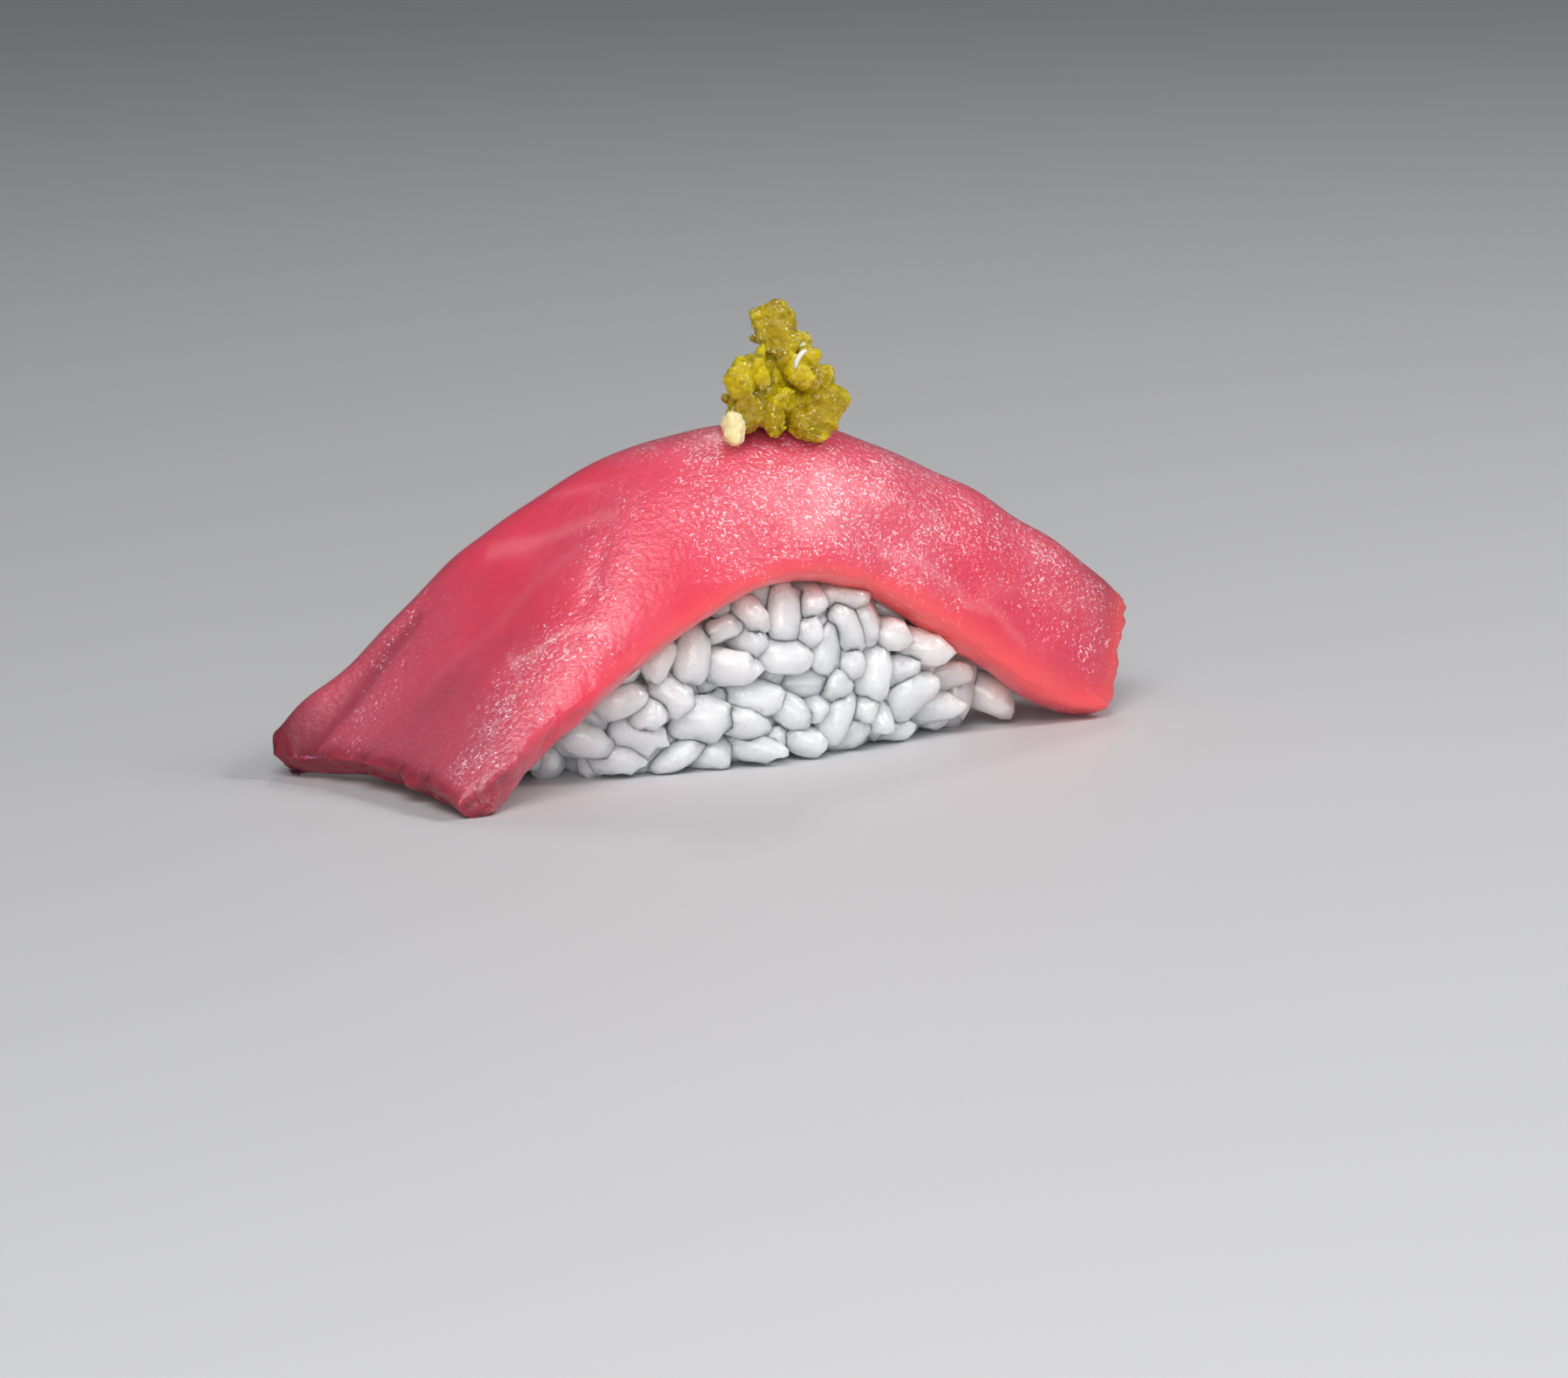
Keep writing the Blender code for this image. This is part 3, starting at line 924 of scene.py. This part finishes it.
@dataclass
class RiceLump:
    """The rice: separate grains over a smaller core."""

    finish: RiceFinish = field(default_factory=RiceFinish)
    seed: int = 11
    count: int = 310
    grain_length: float = 6.6 * MM
    grain_width: float = 4.0 * MM
    spokes: int = 11
    rings: int = 9
    core_share: Point = (0.84, 0.66, 0.78)
    core_drop: float = 0.8 * MM
    core_foot: float = 0.6 * MM
    laid: tuple[float, float] = (1.0 * MM, 4.5 * MM)
    painted_tuna_light_reach: float = 2.0 * MM
    roof_gap: float = 0.1 * MM
    rounds: int = 60
    shown: tuple[Grain, ...] = (
        Grain(25.4, 2.9, -30, 7.0, 4.4, -2.2),
        Grain(-14.7, 7.8, 8, 5.4, 4.0),
        Grain(-10.1, 7.9, -40, 5.2, 3.7),
        Grain(-6.9, 5.0, -4, 6.8, 4.7),
        Grain(-17.9, 4.0, -14, 5.8, 3.6),
        Grain(-12.8, 4.1, -22, 6.2, 3.8, 0.5),
        Grain(-8.9, 1.9, 28, 6.2, 2.9, 0.4),
        Grain(-1.8, 1.9, -17, 7.0, 3.0, -0.5),
        Grain(3.7, 1.8, -22, 4.2, 3.0, -0.4),
        Grain(-1.4, 6.6, -10, 6.2, 3.8, 0.7),
        Grain(-4.0, 9.9, -10, 6.4, 4.2),
        Grain(1.6, 10.5, -16, 6.0, 4.2),
        Grain(-1.6, 14.7, -48, 4.6, 3.4, 0.3),
        Grain(2.0, 14.5, 88, 7.0, 4.0, 0.5),
        Grain(7.8, 15.3, -4, 6.4, 3.4, 0.3),
        Grain(6.3, 10.5, 75, 5.4, 4.2, 0.2),
        Grain(16.6, 9.3, -12, 6.4, 3.6, -0.3),
        Grain(11.2, 7.8, 78, 6.4, 4.2),
        Grain(15.3, 4.9, 34, 6.6, 4.2, -0.4),
        Grain(7.1, 3.7, 58, 5.8, 3.9),
        Grain(2.3, 4.8, -40, 4.6, 3.2, 0.6),
        Grain(18.8, 2.9, 3, 6.2, 3.0, 0.2),
        Grain(20.4, 5.6, 12, 5.2, 3.2, 0.3),
        Grain(13.7, 1.3, -3, 5.6, 2.8, 0.9),
        Grain(-11.1, 11.4, 60, 4.8, 3.4, 0.3),
        Grain(-7.6, 11.5, 82, 6.2, 3.8, 0.4),
        Grain(3.8, 7.2, 2, 5.6, 3.0, 0.9),
        Grain(13.9, 12.9, -25, 5.2, 3.2, 0.2),
        Grain(-4.6, 13.4, 20, 5.0, 3.4, 0.8),
        Grain(-14.7, 1.7, -8, 6.0, 3.0, 0.3),
        Grain(10.5, 12.4, -70, 5.2, 3.6, 0.4),
    )
    across: Vector = field(default_factory=lambda: Vector((0.906, -0.423, 0.0)))
    upward: Vector = field(default_factory=lambda: Vector((0.08, 0.17, 0.98)))

    def axis_of(self, lean: float) -> Vector:
        """The direction of a front grain's length.

        Args:
            lean: Its angle from level, in degrees, anticlockwise seen from the front.

        Returns:
            The direction.
        """
        turn = math.radians(lean)
        return (self.across * math.cos(turn) + self.upward * math.sin(turn)).normalized()

    def packing(self, shell: Shell, rng: random.Random) -> Packing:
        """Lays the grains out and lets them press together.

        Args:
            shell: The lump's packed surface.
            rng: The source of chance.

        Returns:
            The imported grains.
        """
        centres, axes, halves, radii = [], [], [], []
        for grain in self.shown:
            start = Vector((grain.x * MM, -60 * MM, grain.z * MM))
            hit = shell.tree.ray_cast(start, Vector((0, 1, 0)))[0]
            radius = grain.width * MM / 2
            front = hit if hit else Vector((grain.x * MM, -7.6 * MM, grain.z * MM))
            centres.append(front + Vector((0, radius * 0.8 + grain.depth * MM, 0)))
            axes.append(self.axis_of(grain.lean))
            radii.append(radius)
            halves.append((grain.length * MM / 2 - radius) * 0.9)
        low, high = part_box(Node.RICE.value)
        while len(centres) < self.count:
            point = Vector(rng.uniform(low[i], high[i]) for i in range(3))
            depth, _ = shell.depth(point)
            if not self.laid[0] < depth < self.laid[1]:
                continue
            radius = self.grain_width / 2 * rng.uniform(0.86, 1.10)
            centres.append(point)
            axes.append(Vector(rng.gauss(0, 1) for _ in range(3)).normalized())
            radii.append(radius)
            halves.append(self.grain_length * rng.uniform(0.82, 1.08) / 2 - radius)
        packed = Packing(
            shell,
            np.array(centres),
            np.array(axes),
            np.array(halves),
            np.array(radii),
            fixed=len(self.shown),
            squeeze=0.78,
            inset=0.80,
            deepest=1.6 * MM,
        )
        packed.relax(self.rounds)
        return packed

    def add_grain(
        self, builder: bmesh.types.BMesh, place: Matrix, half: float, radius: float, seed: int
    ) -> list[bmesh.types.BMVert]:
        """Adds one grain.

        Args:
            builder: The mesh to add it to.
            place: Where it lies, its length along its own Z.
            half: Half the distance between its two end balls.
            radius: Its thickness.
            seed: What makes it differ from others.

        Returns:
            Its vertices.
        """
        rng = random.Random(seed)
        made = bmesh.ops.create_uvsphere(
            builder, u_segments=self.spokes, v_segments=self.rings, radius=1.0
        )["verts"]
        bend = rng.uniform(0.02, 0.16)
        flat = rng.uniform(0.70, 0.90)
        nick = rng.choice((0.0, 0.35, 0.55))
        length = half + radius
        offset = Vector((seed * 0.37, seed * 0.11, seed * 0.73))
        for vertex in made:
            x, y, z = vertex.co
            round_part = max(1.0 - z * z, 1e-4) ** 0.5
            thick = (max(1.0 - abs(z) ** 2.8, 0.0) ** 0.42) / round_part * (1.0 - 0.08 * z)
            shaped = Vector((x * thick, y * thick * flat + bend * (1.0 - z * z) - 0.5 * bend, z))
            if nick and z > 0.55 and shaped.x > 0:
                shaped.x *= 1.0 - nick
                shaped.z -= nick * 0.25 * (z - 0.55)
            shaped *= 1.0 + 0.22 * noise.noise(shaped * 1.6 + offset)
            vertex.co = place @ Vector((shaped.x * radius, shaped.y * radius, shaped.z * length))
        return made

    def build_grains(self, shell: Shell, tuna: Shell) -> bpy.types.Object:
        """Makes the grains.

        Args:
            shell: The lump's packed surface.
            tuna: The slice's packed surface.

        Returns:
            The piece.
        """
        rng = random.Random(self.seed)
        packed = self.packing(shell, rng)
        builder = bmesh.new()
        painted_tuna_light_share = builder.verts.layers.float.new("painted_tuna_light_share")
        shade = builder.verts.layers.float.new("shade")
        for index, (centre, axis) in enumerate(zip(packed.centres, packed.axes)):
            spin = Matrix.Rotation(rng.uniform(0, math.tau), 4, "Z")
            turn = Vector(axis).to_track_quat("Z", "Y").to_matrix().to_4x4()
            place = Matrix.Translation(Vector(centre)) @ turn @ spin
            verts = self.add_grain(
                builder, place, packed.halves[index], packed.radii[index], index
            )
            tone = rng.random()
            for vertex in verts:
                near = tuna.distance(vertex.co)
                below = Vector((vertex.co.x, vertex.co.y, -1 * MM))
                roof = tuna.tree.ray_cast(below, UP)[0]
                if roof:
                    vertex.co.z = min(vertex.co.z, roof.z - self.roof_gap)
                vertex.co.z = max(vertex.co.z, 0.0)
                # Painted light from the tuna, stronger near the slice.
                vertex[painted_tuna_light_share] = 0.8 * math.exp(-((near / self.painted_tuna_light_reach) ** 1.2))
                vertex[shade] = tone
        material = self.finish.build("rice_grain")
        return finished("rice_grains", builder, material, Node.RICE)

    def build_core(self) -> bpy.types.Object:
        """Makes the smaller core under the grains."""
        builder = merged_copy(Node.RICE)
        builder.normal_update()
        shade = builder.verts.layers.float.new("shade")
        builder.verts.layers.float.new("painted_tuna_light_share")
        low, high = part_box(Node.RICE.value)
        middle = (low + high) / 2
        for vertex in builder.verts:
            away = vertex.co - middle
            vertex.co = middle + away * Vector(self.core_share) - UP * self.core_drop
            vertex.co.z = max(vertex.co.z, self.core_foot)
            vertex[shade] = 0.8
        # The core is painted darker and greyer, as shade between the grains.
        material = RiceFinish(painted_gap_shade=0.35).build("rice_core")
        return finished("rice_core", builder, material)


@dataclass
class Bit:
    """A large chopped piece in the heap, its place and half lengths in millimetres."""

    place: Point
    size: Point
    turn: float = 0.0
    tone: float = 0.6
    blocky: float = 0.15


@dataclass
class WasabiHeap:
    """The heap: wet chopped pieces that cling together, a white sliver and pale crumbs."""

    finish: WasabiFinish = field(default_factory=WasabiFinish)
    seed: int = 5
    count: int = 80
    voxel: float = 0.13 * MM
    core_inset: float = 0.9 * MM
    cavity: Point = (3.4 * MM, -4.3 * MM, 36.7 * MM)
    cavity_reach: float = 1.15 * MM
    cavity_depth: float = 1.6 * MM
    laid: tuple[float, float] = (0.25 * MM, 1.1 * MM)
    shreds: int = 120
    crumbs: tuple[Point, ...] = (
        (8.0, 39.3, 0.6),
        (7.8, 38.5, 0.45),
        (8.8, 37.6, 0.5),
        (10.4, 35.9, 0.38),
    )
    sliver: Point = (5.9 * MM, -5.3 * MM, 37.8 * MM)
    sliver_bend: float = 2.3 * MM
    sliver_radius: float = 0.25 * MM
    sliver_sweep: float = math.radians(56)
    large: tuple[Bit, ...] = (
        Bit((5.8, -1.9, 40.6), (2.6, 1.8, 2.1), 14, 0.35, 0.8),
        Bit((5.6, -2.6, 39.0), (2.1, 1.5, 1.4), -12, 0.55, 0.4),
        Bit((7.6, -3.2, 37.2), (1.3, 1.2, 1.7), -40, 0.65),
        Bit((1.0, -3.2, 35.8), (1.5, 1.4, 2.2), 10, 0.70),
        Bit((2.1, -4.3, 37.2), (0.75, 0.7, 2.1), -6, 1.0),
        Bit((2.3, -4.9, 36.2), (0.95, 0.8, 1.1), 0, 1.0),
        Bit((5.9, -4.3, 36.4), (2.5, 1.2, 1.3), -45, 0.85),
        Bit((8.7, -3.2, 35.5), (1.6, 1.4, 2.0), -35, 0.55),
        Bit((8.9, -4.3, 33.5), (2.4, 1.8, 1.8), -15, 0.50, 0.3),
        Bit((7.5, -5.0, 31.4), (2.4, 1.5, 1.7), 5, 0.30, 0.3),
        Bit((3.4, -4.6, 32.8), (1.4, 1.2, 2.2), 4, 0.40),
        Bit((0.9, -4.2, 32.6), (1.6, 1.3, 1.9), -10, 0.05),
        Bit((2.6, -3.4, 34.4), (1.8, 1.3, 1.3), 20, 0.30),
    )

    def chip(
        self,
        builder: bmesh.types.BMesh,
        place: Matrix,
        size: Point,
        rng: random.Random,
        fineness: int,
        blocky: float = 0.0,
    ) -> list[bmesh.types.BMVert]:
        """Adds one chopped piece, cut flat on a few sides.

        Args:
            builder: The mesh to add it to.
            place: Where it lies.
            size: Half its length along each of its own axes.
            rng: The source of chance.
            fineness: How finely it is divided.
            blocky: How far it goes from a ball to a box.

        Returns:
            Its vertices.
        """
        made = bmesh.ops.create_icosphere(builder, subdivisions=fineness, radius=1.0)["verts"]
        offset = Vector([rng.uniform(-9, 9) for _ in range(3)])
        cuts = [
            (Vector([rng.gauss(0, 1) for _ in range(3)]).normalized(), rng.uniform(0.5, 0.85))
            for _ in range(6)
        ]
        for vertex in made:
            point = vertex.co.copy()
            point *= max(abs(length) for length in point) ** -blocky
            point *= 1.0 + (0.35 - 0.3 * blocky) * noise.noise(point * 1.1 + offset)
            point *= 1.0 + 0.12 * noise.noise(point * 3.1 + offset)
            for way, reach in cuts:
                point -= way * max(point.dot(way) - reach, 0.0) * 0.85
            vertex.co = place @ Vector([point[i] * size[i] for i in range(3)])
        return made

    def gathered(
        self, shell: Shell, rng: random.Random
    ) -> tuple[bmesh.types.BMesh, KDTree, list[float]]:
        """Gathers the core and all chopped pieces, still as crossing shells.

        Args:
            shell: The heap's packed surface.
            rng: The source of chance.

        Returns:
            The shells, the pieces' middles and their tones.
        """
        builder = merged_copy(Node.HEAP)
        builder.normal_update()
        for vertex in builder.verts:
            vertex.co -= vertex.normal * self.core_inset
        middles: list[tuple[Vector, float]] = []
        for bit in self.large:
            centre = Vector(bit.place) * MM
            turn = FRONT @ Matrix.Rotation(math.radians(bit.turn), 4, "Y").inverted()
            size = tuple(length * MM for length in bit.size)
            self.chip(builder, Matrix.Translation(centre) @ turn, size, rng, 4, bit.blocky)
            middles.append((centre, bit.tone))
        low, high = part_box(Node.HEAP.value)
        hollow = Vector(self.cavity)
        while len(middles) < self.count:
            point = Vector([rng.uniform(low[i], high[i]) for i in range(3)])
            depth, _ = shell.depth(point)
            in_hollow = (point - hollow).length < 1.5 * MM
            if in_hollow or not self.laid[0] < depth < self.laid[1]:
                continue
            radius = rng.choice((0.5, 0.65, 0.85, 1.1)) * rng.uniform(0.85, 1.15) * MM
            turn = Euler([rng.uniform(0, math.tau) for _ in range(3)]).to_matrix().to_4x4()
            size = (radius, radius * rng.uniform(0.6, 1.0), radius * rng.uniform(1.0, 1.5))
            self.chip(builder, Matrix.Translation(point) @ turn, size, rng, 2)
            middles.append((point, rng.uniform(0.1, 0.9)))
        tree = KDTree(len(middles))
        for index, (centre, _) in enumerate(middles):
            tree.insert(centre, index)
        tree.balance()
        return builder, tree, [tone for _, tone in middles]

    def chopped(self, point: Vector) -> float:
        """How far the surface goes in or out at a point, from the small faces of chopped pieces."""
        relief = 0.0
        for size, depth in ((1.5 * MM, 0.16 * MM), (0.60 * MM, 0.09 * MM)):
            gaps, corners = noise.voronoi(point / size)
            tilt = Vector((noise.cell(corners[0]), noise.cell(corners[0] * 3.7), 0.4))
            edge = min((gaps[1] - gaps[0]) / 0.25, 1.0)
            relief += depth * (edge - 0.6 + 0.8 * (point / size - corners[0]).dot(tilt))
        return relief

    def build_mass(self, shell: Shell) -> bpy.types.Object:
        """Makes the mass of clinging pieces.

        Args:
            shell: The heap's packed surface.

        Returns:
            The piece.
        """
        rng = random.Random(self.seed)
        shells, tree, tones = self.gathered(shell, rng)
        builder = fused(shells, self.voxel)
        builder.normal_update()
        shade = builder.verts.layers.float.new("shade")
        painted_hollow_shade = builder.verts.layers.float.new("painted_hollow_shade")
        hollow = Vector(self.cavity)
        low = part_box(Node.HEAP.value)[0].z
        placed = []
        for vertex in builder.verts:
            point = vertex.co
            near = math.exp(-(((point - hollow).length / self.cavity_reach) ** 2))
            _, index, _ = tree.find(point)
            vertex[shade] = tones[index]
            # Painted shade in the hollow, which is also pushed in.
            vertex[painted_hollow_shade] = near
            move = vertex.normal * self.chopped(point)
            moved = point + move + AWAY * near * self.cavity_depth
            moved.z = max(moved.z, low)
            placed.append(moved)
        for vertex, place in zip(builder.verts, placed):
            vertex.co = place
        material = self.finish.build("wasabi_flesh")
        return finished("wasabi_mass", builder, material, Node.HEAP)

    def build_shreds(self, mass: bpy.types.Object) -> bpy.types.Object:
        """Makes the small shreds and points that stand out of the mass.

        Args:
            mass: The mass of clinging pieces.

        Returns:
            The piece.
        """
        rng = random.Random(self.seed + 2)
        builder = bmesh.new()
        shade = builder.verts.layers.float.new("shade")
        builder.verts.layers.float.new("painted_hollow_shade")
        for vertex in rng.sample(list(mass.data.vertices), self.shreds):
            point, way = vertex.co.copy(), vertex.normal.copy()
            radius = rng.uniform(0.14, 0.28) * MM
            jitter = Vector([rng.gauss(0, 0.5) for _ in range(3)])
            turn = (way + jitter).to_track_quat("Z", "Y").to_matrix().to_4x4()
            size = (radius, radius * rng.uniform(0.5, 1.0), radius * rng.uniform(1.0, 2.2))
            tone = rng.uniform(0.3, 1.0)
            for vertex in self.chip(builder, Matrix.Translation(point) @ turn, size, rng, 2):
                vertex[shade] = tone
        material = self.finish.build("wasabi_shred")
        return finished("wasabi_shreds", builder, material)

    def build_sliver(self) -> bpy.types.Object:
        """Makes the white curved sliver: a thin rod bent round an arc, with rounded tips."""
        bend, sweep = self.sliver_bend, self.sliver_sweep
        builder = bmesh.new()
        bmesh.ops.create_circle(
            builder,
            segments=10,
            radius=self.sliver_radius,
            cap_ends=True,
            matrix=Matrix.Translation((bend, 0, 0)) @ Matrix.Rotation(math.pi / 2, 4, "X"),
        )
        bmesh.ops.spin(
            builder,
            geom=builder.faces[:],
            cent=(0, 0, 0),
            axis=(0, 0, 1),
            angle=sweep,
            steps=14,
        )
        for vertex in builder.verts:
            angle = math.atan2(vertex.co.y, vertex.co.x)
            middle = Vector((math.cos(angle), math.sin(angle), 0.0)) * bend
            share = min(abs(angle / sweep - 0.5) * 2, 1.0)
            taper = max(1.0 - share**4, 0.05) ** 0.5
            vertex.co = middle + (vertex.co - middle) * taper
        upright = FRONT @ Matrix.Rotation(math.pi / 2, 4, "X")
        tilt = Matrix.Rotation(math.radians(120), 4, "Z")
        place = Matrix.Translation(self.sliver) @ upright @ tilt
        middle = Vector((math.cos(sweep / 2), math.sin(sweep / 2), 0)) * bend
        for vertex in builder.verts:
            vertex.co = place @ (vertex.co - middle)
        bmesh.ops.recalc_face_normals(builder, faces=builder.faces)
        finish = PaleFinish("white_sliver", (0.93, 0.94, 0.76), (0.92, 0.93, 0.70), 0.22)
        return finished("white_sliver", builder, finish.build())

    def build_crumbs(self, shell: Shell) -> bpy.types.Object:
        """Makes the pale crumbs on the heap's right shoulder.

        Args:
            shell: The heap's packed surface.

        Returns:
            The piece.
        """
        rng = random.Random(self.seed + 1)
        builder = bmesh.new()
        for x, z, radius in self.crumbs:
            hit = shell.tree.find_nearest(Vector((x, -4.6, z)) * MM)[0]
            hit -= AWAY * 0.25 * MM
            size = tuple(radius * MM * share for share in (1.0, 0.9, 0.8))
            self.chip(builder, Matrix.Translation(hit), size, rng, 2)
        finish = PaleFinish("pale_crumb", (0.72, 0.72, 0.36), (0.70, 0.66, 0.25), 0.18)
        return finished("pale_crumbs", builder, finish.build())


@dataclass
class StemPiece:
    """The pale stem piece at the heap's foot, a little uneven."""

    finish: PaleFinish = field(default_factory=lambda: PaleFinish("stem_flesh"))
    rough: float = 0.24 * MM
    swell: float = 0.08 * MM
    # So low an angle keeps nearly every edge of the block half crisp.
    crisp_angle: float = 0.7

    def build(self) -> bpy.types.Object:
        """Makes the piece."""
        builder = merged_copy(Node.STEM)
        crease_sharp(builder, self.crisp_angle, 0.45)
        builder = softened(builder, 3)
        builder.normal_update()
        moved = []
        for vertex in builder.verts:
            rough = noise.noise(vertex.co / (1.1 * MM)) + 0.5 * noise.noise(vertex.co / (0.4 * MM))
            moved.append(vertex.co + vertex.normal * (rough * self.rough + self.swell))
        for vertex, place in zip(builder.verts, moved):
            vertex.co = place
        return finished("stem_bit", builder, self.finish.build(), Node.STEM)


@dataclass(frozen=True)
class Softbox:
    """A square light: its side in metres and its power in watts."""

    name: str
    place: Point
    size: float
    power: float
    colour: Colour = (1.0, 1.0, 1.0)


@dataclass
class Studio:
    """The floor, the soft lights and the camera, whose angles are in degrees."""

    azimuth: float = -25.0
    elevation: float = 11.0
    roll: float = 2.1
    distance: float = 0.750
    lens: float = 180.0
    sensor: float = 36.0
    aim: Point = (6.1 * MM, 1.0 * MM, 5.0 * MM)
    lit_point: Point = (0.0, 0.0, 15 * MM)
    floor_reach: float = 6.0
    room: Colour = (0.9, 0.93, 1.0)
    room_strength: float = 0.14
    lights: tuple[Softbox, ...] = (
        Softbox("key", (0.36, -0.22, 0.37), 0.15, 0.85, (1.0, 0.99, 0.98)),
        Softbox("left_spot", (-0.26, -0.48, 0.50), 0.03, 0.22),
        Softbox("hot_spot", (0.34, -0.24, 0.40), 0.035, 0.30),
        Softbox("back_rim", (0.22, 0.34, 0.42), 0.08, 0.30),
        Softbox("overhead", (-0.24, -0.38, 0.53), 0.40, 2.5),
        Softbox("low_front", (-0.26, -0.62, 0.12), 0.35, 1.7),
    )

    def build_floor(self) -> None:
        """Makes the plain floor."""
        builder = bmesh.new()
        bmesh.ops.create_grid(builder, x_segments=1, y_segments=1, size=self.floor_reach)
        mesh = bpy.data.meshes.new("floor")
        builder.to_mesh(mesh)
        builder.free()
        mesh.materials.append(FloorFinish().build())
        floor = bpy.data.objects.new("floor", mesh)
        bpy.context.scene.collection.objects.link(floor)

    def add_softbox(self, box: Softbox) -> None:
        """Adds a square light that faces the object.

        Args:
            box: The light.
        """
        light = bpy.data.lights.new(box.name, "AREA")
        light.size = box.size
        light.energy = box.power
        light.color = box.colour
        lamp = bpy.data.objects.new(box.name, light)
        lamp.location = box.place
        lamp.rotation_mode = "QUATERNION"
        way = Vector(self.lit_point) - Vector(box.place)
        lamp.rotation_quaternion = way.to_track_quat("-Z", "Y")
        bpy.context.scene.collection.objects.link(lamp)

    def build_lights(self) -> None:
        """Hangs the lights and sets the room's brightness."""
        for light in self.lights:
            self.add_softbox(light)
        world = bpy.data.worlds.new("room")
        world.use_nodes = True
        background = world.node_tree.nodes["Background"]
        background.inputs["Color"].default_value = (*self.room, 1.0)
        background.inputs["Strength"].default_value = self.room_strength
        bpy.context.scene.world = world
        bpy.context.scene.view_settings.view_transform = "Standard"

    def build_camera(self) -> None:
        """Sets the camera."""
        turn, rise = math.radians(self.azimuth), math.radians(self.elevation)
        level = math.cos(rise)
        back = Vector((math.sin(turn) * level, -math.cos(turn) * level, math.sin(rise)))
        right = UP.cross(back).normalized()
        above = back.cross(right)
        tip = Matrix.Rotation(math.radians(-self.roll), 3, back)
        right, above = tip @ right, tip @ above
        data = bpy.data.cameras.new("camera")
        data.lens, data.sensor_width = self.lens, self.sensor
        data.clip_start, data.clip_end = 0.01, 20.0
        camera = bpy.data.objects.new("camera", data)
        place = Matrix((right, above, back)).transposed().to_4x4()
        place.translation = Vector(self.aim) + back * self.distance
        camera.matrix_world = place
        bpy.context.scene.collection.objects.link(camera)
        bpy.context.scene.camera = camera


def main() -> None:
    """Builds every piece in order."""
    logging.basicConfig(level=logging.INFO, format="%(message)s")
    studio = Studio()
    studio.build_camera()
    tuna, rice_shell, heap_shell = Shell(Node.SLICE), Shell(Node.RICE), Shell(Node.HEAP)
    report(TunaSlice().build())
    rice = RiceLump()
    report(rice.build_core())
    report(rice.build_grains(rice_shell, tuna))
    heap = WasabiHeap()
    mass = heap.build_mass(heap_shell)
    report(mass)
    report(heap.build_shreds(mass))
    report(heap.build_sliver())
    report(heap.build_crumbs(heap_shell))
    report(StemPiece().build())
    studio.build_floor()
    studio.build_lights()


if __name__ == "__main__":
    main()
